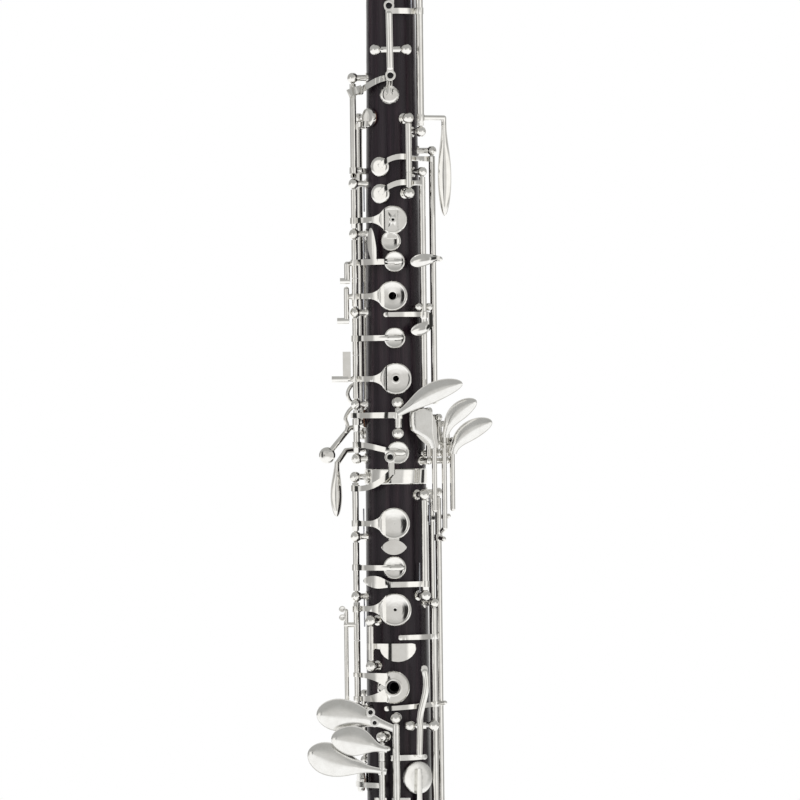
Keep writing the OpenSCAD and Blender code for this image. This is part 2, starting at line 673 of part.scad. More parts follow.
module lower_trill_lever() {
    color(silver) key(axis_right_inner, 391.5, 484.6) {
        strap(482, 5.3, 6.6) ribbon(line([14, 482], [9.3, 482]), 1.1, 1.0);
        collar(axis_right_inner, 425.6);
        strap(424, 3.7, 5.3) union() {
            ribbon(line([14.6, 425.8], [-3.4, 425.8]), 1.05, 0.95);
            translate([-3.4, 425.8]) circle(r = 1.05);
        }
        strap(423, 4.4, 6.4, behind = -4.4) union() {
            ribbon([[12.6, 426.2], [15.6, 426.2], [16.4, 424.4], [15.4, 421.6]], 1.1, 1.5);
            leaf([[15.9, 422.4], [14.4, 420], [11, 419], [7.2, 418.6]], 1.5, 2.6, 0.6);
        }
    }
}

module half_hole_key() {
    color(silver) key(axis_lh, 463.2, 479.8) {
        collar(axis_lh, lh1_z);
        plate_arm(axis_lh, 0, lh1_z, 6);
        difference() {
            plate(0, lh1_z, 6, 0.6, open_gap, 1.95, 0.25);
            at_cup(0, lh1_z, open_gap) translate([-2.1, -5, 1.45]) rotate([0, -6, 0]) cube([4.2, 9.2, 3]);
        }
        at_cup(0, lh1_z, open_gap) difference() {
            translate([0, 0, 1.3]) cylinder(h = 1.2, r = 1.5);
            translate([0, 0, 1]) cylinder(h = 3, r = 0.6);
        }
        at_cup(-0.9, 457.3, open_gap) rotate_extrude()
            polygon(concat([[0, 0.7], [4.25, 0.7], [4.25, 1.6], [4, 1.95], [3.7, 1.95]],
                           dish(3.5, 0, 1.5, 0.4), [[0, 1.5]]));
        at_cup(-0.5, 460.8, open_gap) translate([-2, -2.4, 0.8]) cube([4, 4, 1.1]);
    }
}

module c_vent_key() {
    color(silver) key(axis_lh, 441.8, 458.2) {
        collar(axis_lh, c_vent_z);
        strap(c_vent_z, high_arm[0], high_arm[1], 20, behind = axis_lh.y) union() {
            ribbon(line([-17.1, c_vent_z], [0.5, c_vent_z]), 1.25, 1.1);
            leaf([[-8.4, 449], [-8.6, 452], [-9.6, 456], [-9.5, 463]], 1.2, 1.8, 0.5);
        }
        vent_cup(0.5, c_vent_z, 4.4, open_gap);
        bar([axis_lh.x, axis_lh.y, c_vent_z], [-19.9, -4.8, 447.6], 1.1);
        bar([-19.9, -4.8, 447.6], [-19.9, -4.8, 440.6], 1.3);
        barrel_screw(-23, -18.8, -4.8, 440.5);
    }
}

module second_finger_key() {
    color(silver) key(axis_lh, 429.6, 441.6) {
        collar(axis_lh, lh2_z);
        plate_arm(axis_lh, -0.5, lh2_z, 6.4);
        plate(-0.5, lh2_z, 6.4, 1.7, open_gap);
        bar([axis_lh.x, axis_lh.y, lh2_z], [-20.3, -5, lh2_z], 1.1);
        bar([-20.3, -5, 437], [-20.3, -5, 423.4], 1.15);
        barrel_screw(-24.4, -19.3, -5, 423.4);
    }
}

module b_flat_vent_key() {
    color(silver) key(axis_lh, 408.8, 424.5) {
        collar(axis_lh, b_flat_z);
        strap(b_flat_z, high_arm[0], high_arm[1], behind = axis_lh.y)
            ribbon(line([-17.1, b_flat_z], [0.2, b_flat_z]), 1.2, 1.15);
        vent_cup(0.2, b_flat_z, 4.5, open_gap);
    }
}

module third_finger_key() {
    color(silver) key(axis_lh, 390.1, 408.6) {
        collar(axis_lh, lh3_z);
        plate_arm(axis_lh, 0.5, lh3_z, 6.7);
        plate(0.5, lh3_z, 6.7, 1.3, open_gap);
        at_cup(0.5, lh3_z, open_gap) difference() {
            translate([0, 0, 1.6]) cylinder(h = 0.8, r = 2.1);
            translate([0, 0, 1]) cylinder(h = 3, r = 1.3);
        }
        bar([axis_lh.x, axis_lh.y, lh3_z], [-20.4, -5, lh3_z], 1.1);
        translate([-22.2, -5.7, lh3_z - 0.4]) cube([3.4, 1.3, 12.2]);
        translate([-22.2, -5.7, lh3_z + 10.6]) cube([3.4, 3.4, 1.2]);
        barrel_screw(-27, -20, -5, lh3_z);
    }
}

module g_sharp_lever() {
    color(silver) key(axis_g_sharp, 377.5, 385.7) {
        collar(axis_g_sharp, 382.6);
        strap(382, 6.2, 7.5, behind = -3) ribbon(line([1.3, 382.8], [-19.2, 382.8]), 1.25, 1.1);
        plank(-20.2, -18.6) leaf([[1, 383.2], [9, 387.4], [14, 393.6], [29, 396]], 1.3, 4.3, 0.66);
    }
}

module g_sharp_cup() {
    color(silver) key(axis_lh, 375.9, 385.0) {
        collar(axis_lh, 380);
        lug(axis_lh, 380);
        arc_arm(wood_r(380) + low_arm[0], wood_r(380) + low_arm[1], g_sharp_phi - 8, -76, 380.4, 2.2);
        side_cup(g_sharp_phi, g_sharp_z, shut_gap) cup_body(4.3);
    }
}

module bridge_vent_key() {
    color(silver) key(axis_lh, 366.8, 375.7) {
        collar(axis_lh, 370.2);
        strap(369, high_arm[0], high_arm[1], behind = axis_lh.y)
            ribbon([[-17.1, 370.2], [-10, 370.4], [-6, 367.4], [1, 367.4]], 1.2, 1.1);
        vent_cup(1, bridge_vent_z, 4.8, open_gap);
    }
}

module left_e_flat_lever() {
    color(silver) key(axis_left_e_flat, 364.9, 382.5) {
        bar([axis_left_e_flat.x, axis_left_e_flat.y, 376], [13.4, -14.8, 377], 1.3);
        plank(-16.4, -14.8) leaf([[16.2, 368.4], [15.6, 373], [11.8, 376], [11.4, 385.6]], 2.2, 5, 0.72);
        bar([16.6, -12.4, 371], [16.6, -12.4, 342], 1.1);
        bar([16.2, -15.2, 371.4], [16.6, -12.4, 370], 1.2);
        bar([axis_left_e_flat.x, axis_left_e_flat.y, 371], [16.6, -12.4, 370.4], 1.1);
    }
}

module left_low_b_lever() {
    color(silver) key(axis_left_b, 368.1, 379.7) {
        bar([axis_left_b.x, axis_left_b.y, 371], [20.8, -9.9, 370.4], 1.15);
        bar([20.8, -9.9, 374], [20.8, -9.9, 334.2], 1.1);
        bar([20.8, -9.9, 334.2], [19.6, -8.4, 332.8], 1.1);
        bar([20.8, -9.9, 374], [22, -12.6, 376.6], 1.2);
        plank(-14.2, -12.6) leaf([[21.4, 373], [22.2, 380], [26.4, 385], [35, 388.4]], 1.4, 3.9, 0.66);
    }
}

module left_low_b_flat_lever() {
    color(silver) key(axis_left_b_flat, 364.9, 376.9) {
        bar([axis_left_b_flat.x, axis_left_b_flat.y, 370], [24.3, -6.6, 369.4], 1.15);
        bar([24.3, -6.6, 372], [24.3, -6.6, 342.4], 1.1);
        bar([24.3, -6.6, 371.6], [25.6, -8.4, 371.6], 1.3);
        plank(-10, -8.4) leaf([[24.6, 366], [25.4, 371.5], [31, 377], [41.6, 379.4]], 1.6, 4.2, 0.66);
    }
}

// ---- keys of the lower joint ----

module rh_first_key() {
    color(silver) key(axis_rh, 333.3, 353.9) {
        collar(axis_rh, rh1_z);
        plate_arm(axis_rh, -0.9, rh1_z, 6.75);
        plate(-0.9, rh1_z, 6.75, 0.01, open_gap);
        at_cup(-1, rh1_z - 6.6, open_gap) translate([-2.2, -3, 0.4]) cube([4.4, 5, 1.5]);
        at_cup(-1, 326.3, open_gap) translate([0, 0, 0.4]) intersection() {
            translate([0, 3.1, 0]) cylinder(h = 1.6, r = 6.3);
            translate([0, -3.1, 0]) cylinder(h = 1.6, r = 6.3);
        }
        collar(axis_rh, 351.6);
        strap(358, 5.5, 6.8, behind = axis_rh.y) union() {
            ribbon([[-18, 351.4], [-12, 351.4], [-8, 352.6], [-1.8, 358.6]], 1.2, 1.2);
            ribbon(line([-1.9, 357.4], [-1.8, 364]), 1.3, 1.3);
        }
        at_cup(-1.8, 364.9, 0) translate([0, 0, 4.75]) difference() {
            cylinder(h = 2.2, r = 2.3);
            translate([0, 0, 1.2]) cylinder(h = 2, r = 1.35);
        }
    }
}

module rh_small_vent_key() {
    color(silver) key(axis_rh, 307.6, 328.3) {
        collar(axis_rh, small_vent_z);
        strap(small_vent_z, high_arm[0], high_arm[1], behind = axis_rh.y)
            ribbon(line([-18, small_vent_z], [-0.9, small_vent_z]), 1.15, 1.1);
        vent_cup(-0.9, small_vent_z, 4.9, open_gap);
    }
}

module a_flat_key() {
    color(silver) key(axis_a_flat, 307.9, 346.2) {
        collar(axis_a_flat, 310.5);
        strap(311, high_arm[0], high_arm[1]) union() {
            ribbon(line([13, 310.5], [-4, 310.4]), 1.15, 1.2);
            leaf([[-2, 310.4], [-6, 310.6], [-9, 311.9], [-14.4, 312.1]], 1.15, 2.6, 0.6);
        }
    }
}

module rh_second_key() {
    color(silver) key(axis_rh, 286.3, 302.6) {
        collar(axis_rh, rh2_z);
        plate_arm(axis_rh, -0.9, rh2_z + 0.4, 7);
        plate(-0.9, rh2_z, 7, 0.65, open_gap);
        bar([axis_rh.x, axis_rh.y, 293], [-22, -6.2, 293], 1.1);
        bar([-22, -6.2, 299], [-22, -6.2, 260], 0.95);
        for (z = [299.8, 296.2]) translate([-23.6, -5, z]) rotate([90, 0, 0]) difference() {
            cylinder(h = 3, r = 1.4);
            translate([0, 0, 2]) cylinder(h = 2, r = 0.8);
        }
    }
}

module f_key() {
    color(silver) key(axis_f, 278.1, 292.5) {
        collar(axis_f, 284);
        strap(f_z, 2.6, 4.2) polygon(concat(
            [[-11.4, 285.2], [6.2, 285.2], [7.6, 284.8]],
            [for (a = [10:16:170]) [0.1 + 7.9 * cos(a), 284 - 6.6 * sin(a)]],
            [[-9.4, 283], [-11.4, 282.6]]));
        lug(axis_f, 284);
        cup(0.4, f_z, 4, shut_gap);
    }
}

module f_link() {
    color(silver) key(axis_f_link, 208.3, 299.8) {
        for (z = [287.8, 258.9]) collar(axis_f_link, z, 2.2);
        bar([axis_f_link.x, axis_f_link.y, 258.9], [20, -11, 259.4], 0.95);
        strap(287.8, high_arm[0], high_arm[1]) union() {
            ribbon(line([16.4, 287.8], [1.4, 287.8]), 1.1, 1.0);
            translate([1.4, 287.8]) circle(r = 1.1);
        }
        strap(258, high_arm[0], high_arm[1]) union() {
            ribbon(line([16.4, 258.9], [-5, 257.5]), 1.05, 0.95);
            translate([-5, 257.5]) circle(r = 1.05);
        }
    }
}

module rh_ring_key() {
    color(silver) difference() {
        key(axis_rh, 259.7, 286.1) {
            for (z = [271.6, 261.4]) collar(axis_rh, z, 1.9);
            strap(ring_z, high_arm[0], high_arm[1], behind = axis_rh.y) union() {
                ribbon([[-18, 271.6], [-13, 271.6], [-9, 271.2], [-5, 269.8]], 0.95, 2.9);
                ribbon([[-18, 261.4], [-13, 261.4], [-9, 261.8], [-5, 263.2]], 0.95, 2.9);
            }
            at_cup(-2, ring_z, open_gap) rotate_extrude()
                polygon([[2.75, 0.4], [6.9, 0.4], [7, 1.2], [6.4, 1.9], [3.9, 1.9], [3.8, 2.4],
                         [3.0, 2.4], [2.75, 2.1]]);
        }
        at_cup(-2, ring_z, open_gap) translate([0, 0, -3]) cylinder(h = 9, r = 2.75);
    }
}

module c_sharp_key() {
    color(silver) key(axis_c_sharp, 208.4, 250.9) {
        translate([axis_c_sharp.x, axis_c_sharp.y, 208.9]) cylinder(h = 41.5, r = 1.6);
        plank(-19.3, -17.5) leaf([[-1.2, 248.6], [-10, 252.6], [-17, 255.6], [-35, 255.3]], 1.5, 7, 0.8, 2);
        front_screw(-11.9, -18.6, 256.2, 1.9, 2.6);
        front_screw(-10.2, -18.6, 251.7, 1.8, 2.6);
        strap(236.6, high_arm[0], 5.3) union() {
            ribbon(line([-3.4, 236.4], [11, 236.6]), 1.2, 1.0);
            translate([11, 236.6]) circle(r = 1.15);
        }
        strap(218.5, 3.9, 5.9) ribbon(line([-3.2, 218.4], [4.7, 218.4]), 1.1, 1.0);
        strap(219, 2.3, 4.1) union() {
            ribbon([[-1.1, 211.4], [5, 211], [8.7, 213], [8.7, 219]], 1.3, 1.1);
            ribbon(line([8.7, 218], [8.7, 231.6]), 1.1, 0.7);
        }
        cup(8.7, c_sharp_z, 7, shut_gap);
    }
}

module e_flat_key() {
    color(silver) key(axis_little, 235.1, 242.8) {
        collar(axis_little, 240.4, 3);
        plank(-22.8, -21.2)
            leaf([[-5, 240.4], [-11, 241], [-15, 244.8], [-28.8, 245.1]], 1.4, 6.4, 0.72, 1.7);
        bar([axis_little.x, axis_little.y - 0.8, 240.4], [-8.4, -21.4, 240.5], 1.3);
        bar([axis_little.x, axis_little.y, 240.4], [-4.6, -18.4, 240.4], 1.2);
    }
}

module e_flat_cup() {
    color(silver) key(axis_e_flat_cup, 236.3, 260.1) {
        collar(axis_e_flat_cup, e_flat_z);
        lug(axis_e_flat_cup, e_flat_z);
        arc_arm(wood_r(e_flat_z) + low_arm[0], wood_r(e_flat_z) + low_arm[1], e_flat_phi - 8, -126,
                e_flat_z, 2.2);
        side_cup(e_flat_phi, e_flat_z, shut_gap) cup_body(5);
    }
}

module c_key() {
    color(silver) key(axis_little, 216.5, 234.9) {
        collar(axis_little, 230.8, 3);
        plank(-19, -17.4) leaf([[-5.4, 230.6], [-15, 232.4], [-23, 232.6], [-38.6, 240]], 1.2, 7, 0.8, 2);
        strap(218.5, 3.9, 5.9) ribbon(line([-10.7, 218.4], [-5.4, 218.4]), 1.1, 1.1);
        arc_arm(wood_r(c_z) + 3.4, wood_r(c_z) + 4.9, c_phi - 6, -22, 224.6, 2.2);
        side_cup(c_phi, c_z, open_gap) cup_body(4.95);
    }
}

module foot_rocker() {
    y = foot_y - 1.0;
    color(silver) difference() {
        union() {
            translate([7.4, foot_y, foot_z]) rotate([0, 90, 0]) cylinder(h = 4.4, r = tube_r);
            plank(y - 1.1, y + 0.9) ribbon([[11.2, 274.6], [14.2, 264], [8.2, 258], [9.2, 250]], 1.3, 1.3);
            plank(y - 1.1, y + 0.9) ribbon(line([9.2, 251], [8.8, 237.4]), 1.3, 1.2);
            translate([11.2, y + 0.9, 274.4]) rotate([90, 0, 0]) cylinder(h = 2, r = 1.5);
        }
        translate([3, foot_y, foot_z]) rotate([0, 90, 0]) cylinder(h = 14, r = rod_r + run_gap);
    }
}

module low_b_key() {
    color(silver) key(axis_low_b, 160.4, 347) {
        collar(axis_low_b, low_b_z);
        strap(low_b_z, high_arm[0], 5.4, behind = axis_low_b.y)
            ribbon(line([18.4, low_b_z], [0, low_b_z]), 1.4, 1.2);
        cup(0, low_b_z, 7.5, open_gap);
        collar(axis_low_b, 330);
        bar([axis_low_b.x, axis_low_b.y, 330], [20.2, -5.8, 329.4], 1.1);
    }
}

module low_b_flat_key() {
    color(silver) key(axis_low_b_flat, 138.4, 343.9) {
        collar(axis_low_b_flat, 338);
        bar([axis_low_b_flat.x, axis_low_b_flat.y, 338], [22.4, 3, 339], 1.1);
        collar(axis_low_b_flat, 141);
        bar([axis_low_b_flat.x, axis_low_b_flat.y, 141], [20.6, 6.8, 137.4], 1.1);
        bar([20.6, 6.8, 137.4], [21.4, 3.8, 122], 1.1);
    }
}

module bell_key() {
    color(silver) key(axis_bell, 68.4, 109.6) {
        collar(axis_bell, bell_cup_z);
        strap(bell_cup_z, high_arm[0], 5.6, behind = axis_bell.y)
            ribbon(line([20.9, bell_cup_z], [0, bell_cup_z]), 1.4, 1.2);
        cup(0, bell_cup_z, 8, open_gap);
        bar([axis_bell.x, axis_bell.y, 105.5], [23.2, -2.4, 106.5], 1.1);
        bar([23.2, -2.4, 106.5], [21.8, 0.6, 119], 1.1);
    }
}

// ---- pads ----
module half_hole_pad() { color(pad_skin) pad(0, lh1_z, 6, 0.6, open_gap); }
module c_vent_pad() { color(pad_cork) pad(0.5, c_vent_z, 4.4, 0, open_gap); }
module second_finger_pad() { color(pad_skin) pad(-0.5, lh2_z, 6.4, 1.7, open_gap); }
module third_finger_pad() { color(pad_skin) pad(0.5, lh3_z, 6.7, 1.3, open_gap); }
module rh_first_pad() { color(pad_skin) pad(-0.9, rh1_z, 6.75, 0, open_gap); }
module rh_second_pad() { color(pad_skin) pad(-0.9, rh2_z, 7, 0.65, open_gap); }
module f_pad() { color(pad_skin) pad(0.4, f_z, 4, 0, shut_gap); }
module c_sharp_pad() { color(pad_skin) pad(8.7, c_sharp_z, 7, 0, shut_gap); }
module low_b_pad() { color(pad_skin) pad(0, low_b_z, 7.5, 0, open_gap); }
module bell_pad() { color(pad_skin) pad(0, bell_cup_z, 8, 0, open_gap); }

// A pad in a cup on the side or back
module side_pad(phi, z, r, gap) {
    facing(phi, z) translate([0, -rim_r(z, gap) + pad_out, 0]) rotate([90, 0, 0])
        cylinder(h = pad_out + cup_depth, r = r);
}
module side_trill_pad() { color(pad_cork) side_pad(side_trill_phi, side_trill_z, 3.55, shut_gap); }
module g_sharp_pad() { color(pad_cork) side_pad(g_sharp_phi, g_sharp_z, 3.8, shut_gap); }
module c_pad() { color(pad_cork) side_pad(c_phi, c_z, 4.45, open_gap); }

upper_joint();
lower_joint();
bell();
metal_rings();
reed_liner();
tenon_corks();
upper_posts();
lower_posts();
bell_posts();
hinge_rods();
needle_springs();
thumb_rest();
octave_side_key();
octave_rocker();
octave_thumb_key();
side_trill_key();
back_trill_key();
upper_trill_cup();
lower_trill_cup();
upper_trill_lever();
lower_trill_lever();
half_hole_key();
c_vent_key();
second_finger_key();
b_flat_vent_key();
third_finger_key();
g_sharp_lever();
g_sharp_cup();
bridge_vent_key();
left_e_flat_lever();
left_low_b_lever();
left_low_b_flat_lever();
rh_first_key();
rh_small_vent_key();
a_flat_key();
rh_second_key();
f_key();
f_link();
rh_ring_key();
c_sharp_key();
e_flat_key();
e_flat_cup();
c_key();
foot_rocker();
low_b_key();
low_b_flat_key();
bell_key();
half_hole_pad();
c_vent_pad();
second_finger_pad();
third_finger_pad();
g_sharp_pad();
side_trill_pad();
rh_first_pad();
rh_second_pad();
f_pad();
c_sharp_pad();
c_pad();
low_b_pad();
bell_pad();
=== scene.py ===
"""An oboe's looks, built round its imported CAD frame.

Blender's units are metres. Sizes of the added pieces are in millimetres, in the frame of the CAD: the front
keys face -Y, the bore is along +Z, and (u, z) is a place on the front as the camera sees it.
"""

import json
import math

import bmesh
import bpy
from mathutils import Matrix, Vector


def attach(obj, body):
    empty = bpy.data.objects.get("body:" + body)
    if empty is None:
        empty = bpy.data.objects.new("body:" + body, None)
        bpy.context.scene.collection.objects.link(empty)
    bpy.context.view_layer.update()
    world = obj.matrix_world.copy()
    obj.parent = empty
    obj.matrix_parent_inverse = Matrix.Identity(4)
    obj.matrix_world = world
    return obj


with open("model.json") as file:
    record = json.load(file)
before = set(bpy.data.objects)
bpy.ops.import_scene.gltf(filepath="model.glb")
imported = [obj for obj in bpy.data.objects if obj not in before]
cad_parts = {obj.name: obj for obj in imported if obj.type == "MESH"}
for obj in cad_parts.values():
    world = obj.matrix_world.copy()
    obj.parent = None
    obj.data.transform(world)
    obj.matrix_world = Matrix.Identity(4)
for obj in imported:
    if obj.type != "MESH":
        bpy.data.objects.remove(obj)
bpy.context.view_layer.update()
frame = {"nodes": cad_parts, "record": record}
MM = 0.001
SLOTS = [material["slot"] for material in frame["record"]["materials"]]

# ---- camera ----

CAMERA_PLACE = (0.00217, -2.5, 0.38924)
CAMERA_LENS = 261.6
CAMERA_ROLL = 0.65      # degrees; the body's top leans a little to the left


def add_camera():
    """A level view of the middle of the oboe, from the front."""
    data = bpy.data.cameras.new("camera")
    data.sensor_width = 36
    data.lens = CAMERA_LENS
    data.clip_end = 50
    camera = bpy.data.objects.new("camera", data)
    bpy.context.scene.collection.objects.link(camera)
    roll = Matrix.Rotation(math.radians(CAMERA_ROLL), 4, "Y")
    level = Matrix.Rotation(math.radians(90), 4, "X")
    camera.matrix_world = Matrix.Translation(CAMERA_PLACE) @ roll @ level
    bpy.context.scene.camera = camera


# ---- materials ----

class Graph:
    """A material's nodes, each made and wired in one call."""

    def __init__(self, tree):
        self.tree = tree

    def node(self, kind, inputs=None, **settings):
        made = self.tree.nodes.new(kind)
        for name, value in settings.items():
            setattr(made, name, value)
        for name, value in (inputs or {}).items():
            self.fill(made.inputs[name], value)
        return made

    def fill(self, socket, value):
        """Wires a socket to another one, or sets its own value."""
        if isinstance(value, bpy.types.NodeSocket):
            self.tree.links.new(value, socket)
        else:
            socket.default_value = value

    def noise(self, vector, scale, detail=3.0, rough=0.55):
        return self.node("ShaderNodeTexNoise", {"Vector": vector, "Scale": scale, "Detail": detail,
                                                "Roughness": rough}).outputs["Fac"]

    def cells(self, vector, scale):
        return self.node("ShaderNodeTexVoronoi", {"Vector": vector, "Scale": scale},
                         feature="F1").outputs["Distance"]

    def stretched(self, vector, scale):
        return self.node("ShaderNodeMapping", {"Vector": vector, "Scale": scale}).outputs["Vector"]

    def ramp(self, factor, stops):
        """Colours along a factor; a stop is a place and either a grey or a red, green and blue."""
        ramp = self.node("ShaderNodeValToRGB", {"Fac": factor})
        elements = ramp.color_ramp.elements
        while len(elements) < len(stops):
            elements.new(0.5)
        for element, (place, colour) in zip(elements, stops):
            element.position = place
            element.color = (*colour, 1) if hasattr(colour, "__len__") else (colour, colour, colour, 1)
        return ramp.outputs["Color"]

    def remap(self, value, low, high, to_low, to_high):
        return self.node("ShaderNodeMapRange", {"Value": value, "From Min": low, "From Max": high,
                                                "To Min": to_low, "To Max": to_high}).outputs["Result"]

    def mix(self, factor, first, second, blend_type="MIX"):
        """A colour mix; each colour is a socket or four numbers."""
        made = self.node("ShaderNodeMix", data_type="RGBA", blend_type=blend_type)
        for socket, value in ((made.inputs[0], factor), (made.inputs[6], first), (made.inputs[7], second)):
            self.fill(socket, value)
        return made.outputs[2]

    def bump(self, height, strength, distance, normal=None):
        inputs = {"Height": height, "Strength": strength, "Distance": distance}
        if normal is not None:
            inputs["Normal"] = normal
        return self.node("ShaderNodeBump", inputs).outputs["Normal"]


def new_material(name):
    material = bpy.data.materials.new(name)
    material.use_nodes = True
    graph = Graph(material.node_tree)
    shader = material.node_tree.nodes["Principled BSDF"]
    place = graph.node("ShaderNodeTexCoord").outputs["Object"]
    return material, graph, shader, place


def wire(graph, shader, **links):
    for name, socket in links.items():
        graph.tree.links.new(socket, shader.inputs[name.replace("_", " ")])


def blackwood():
    """Oiled African blackwood: lengthwise grain, fine open pores and a satin polish."""
    material, g, shader, place = new_material("blackwood")
    streak = g.noise(g.stretched(place, (420, 420, 9)), 1.0, 4.0, 0.6)
    fibre = g.noise(g.stretched(place, (4200, 4200, 90)), 1.0, 2.0, 0.6)
    pores = g.cells(g.stretched(place, (2300, 2300, 120)), 1.0)
    body = g.ramp(streak, [(0.25, (0.006, 0.0045, 0.007)), (0.5, (0.014, 0.009, 0.0135)),
                           (0.75, (0.034, 0.02, 0.026))])
    dust = g.ramp(fibre, [(0.35, (0.75, 0.72, 0.74)), (0.7, (1.35, 1.25, 1.28))])
    colour = g.mix(1.0, body, dust, "MULTIPLY")
    rough = g.remap(fibre, 0.2, 0.8, 0.22, 0.36)
    height = g.remap(pores, 0.0, 0.35, 0.0, 1.0)
    normal = g.bump(height, 0.25, 0.00004, g.bump(fibre, 0.2, 0.00003))
    wire(g, shader, Base_Color=colour, Roughness=rough, Normal=normal)
    shader.inputs["Specular IOR Level"].default_value = 0.3
    return material


def metal(name, tint, dark, rough, hairs=0.04):
    """A polished metal, a little uneven from the hand, with hairline scratches and a trace of tarnish."""
    material, g, shader, place = new_material(name)
    cloud = g.noise(place, 260.0, 4.0, 0.6)
    hair = g.noise(g.stretched(place, (900, 900, 9000)), 1.0, 2.0, 0.5)
    swell = g.noise(place, 140.0, 1.0, 0.4)
    colour = g.ramp(cloud, [(0.3, dark), (0.62, tint)])
    gloss = g.remap(hair, 0.3, 0.75, rough[0], rough[1])
    normal = g.bump(swell, 0.05, 0.0006, g.bump(hair, hairs, 0.00002))
    wire(g, shader, Base_Color=colour, Roughness=gloss, Normal=normal)
    shader.inputs["Metallic"].default_value = 1.0
    return material


def cork_like(name, pale, deep, scale):
    """Cork or pad skin: a speckled grain with small pits."""
    material, g, shader, place = new_material(name)
    grain = g.noise(place, scale, 5.0, 0.65)
    pits = g.cells(place, scale * 0.8)
    colour = g.ramp(grain, [(0.3, deep), (0.6, pale)])
    rough = g.remap(grain, 0.2, 0.8, 0.6, 0.9)
    wire(g, shader, Base_Color=colour, Roughness=rough, Normal=g.bump(pits, 0.4, 0.0001))
    return material


MATERIALS = {
    "blackwood": blackwood(),
    "silver_plate": metal("silver_plate", (0.86, 0.85, 0.82), (0.78, 0.765, 0.73), (0.03, 0.09)),
    "silver_paddle": metal("silver_paddle", (0.84, 0.835, 0.81), (0.77, 0.76, 0.73), (0.17, 0.23),
                           hairs=0.01),
    "silver_ring": metal("silver_ring", (0.88, 0.87, 0.84), (0.8, 0.79, 0.76), (0.05, 0.13)),
    "rod_steel": metal("rod_steel", (0.74, 0.73, 0.72), (0.62, 0.61, 0.6), (0.14, 0.26)),
    "blued_steel": metal("blued_steel", (0.6, 0.61, 0.66), (0.45, 0.46, 0.52), (0.2, 0.34)),
    # Near-black steel on the adjusting screws' ends: painted shade standing for the shadow down in their
    # barrels
    "screw_painted_shade": metal("screw_painted_shade", (0.035, 0.034, 0.036), (0.02, 0.02, 0.022), (0.25, 0.4)),
    "cork": cork_like("cork", (0.62, 0.42, 0.24), (0.38, 0.23, 0.12), 1500.0),
    "pale_pad": cork_like("pale_pad", (0.72, 0.64, 0.5), (0.58, 0.49, 0.36), 900.0),
    "brown_pad": cork_like("brown_pad", (0.4, 0.21, 0.13), (0.24, 0.11, 0.07), 1300.0),
}

# ---- the CAD nodes: finish, softened edges and smooth shading ----

BEVEL = {"blackwood": 0.25, "silver_paddle": 0.55, "silver_plate": 0.22, "silver_ring": 0.2}
SHARP_ANGLE = 32        # degrees; a sharper edge than this is bevelled
WELD_DISTANCE = 0.000001


def slot_of(node):
    """The record's slot for a node, from the name of its imported material."""
    name = node.data.materials[0].name if node.data.materials else "silver_plate"
    found = [slot for slot in SLOTS if name.startswith(slot)]
    return max(found, key=len) if found else "silver_plate"


def dress(node):
    slot = slot_of(node)
    if not node.data.materials:
        node.data.materials.append(MATERIALS[slot])
    for i in range(len(node.data.materials)):
        node.data.materials[i] = MATERIALS[slot]
    if node.data.has_custom_normals:
        with bpy.context.temp_override(object=node, active_object=node):
            bpy.ops.mesh.customdata_custom_splitnormals_clear()
    node.data.polygons.foreach_set("use_smooth", [True] * len(node.data.polygons))
    weld = node.modifiers.new("weld", "WELD")
    weld.merge_threshold = WELD_DISTANCE
    if slot in BEVEL:
        bevel = node.modifiers.new("soft edges", "BEVEL")
        bevel.width = BEVEL[slot] * MM
        bevel.segments = 3 if slot == "silver_paddle" else 2
        bevel.limit_method = "ANGLE"
        bevel.angle_limit = math.radians(SHARP_ANGLE)
    shade = node.modifiers.new("even shading", "WEIGHTED_NORMAL")
    shade.weight = 60
    shade.keep_sharp = False


for node in frame["nodes"].values():
    dress(node)

# ---- skins: curves and domes ----

ROUNDNESS = 1.7     # 1 gives a sharp ridge along a crown and 2 a round dome
FULL_WIDTH = 0.55   # the share of its greatest width at which a crown reaches its full height
INSET = 0.25        # how far a crown's rim stays inside its touch's outline
BURIED = 0.06       # how deep a skin's rim lies in the flat part below it
WRAP_BURIED = 0.15  # and in a part that is bent round the wood


def bezier(points, t):
    a, b, c, d = (Vector(p) for p in points)
    return a * (1 - t) ** 3 + b * 3 * t * (1 - t) ** 2 + c * 3 * t * t * (1 - t) + d * t ** 3


def left_of(points, t):
    a, b, c, d = (Vector(p) for p in points)
    along = (b - a) * (1 - t) ** 2 + (c - b) * 2 * t * (1 - t) + (d - c) * t * t
    return Vector((-along.y, along.x)).normalized()


def between(start, end, steps):
    return [Vector(start).lerp(Vector(end), i / steps) for i in range(steps + 1)]


def spread(count):
    """Places from -1 to 1, closer together towards both ends."""
    return [-math.cos(math.pi * j / count) for j in range(count + 1)]


def circle(count):
    """Angles once round, with the first one again at the end."""
    return [2 * math.pi * k / count for k in range(count + 1)]


def leaf_width(t, w0, w1, widest, swell):
    """Half the width of a leaf that swells from w0 at its stem to w1, and ends in a half ellipse."""
    if t < widest:
        return w0 + (w1 - w0) * ((1 - math.cos(math.pi * t / widest)) / 2) ** swell
    return w1 * math.sqrt(max(1 - ((t - widest) / (1 - widest)) ** 2, 0))


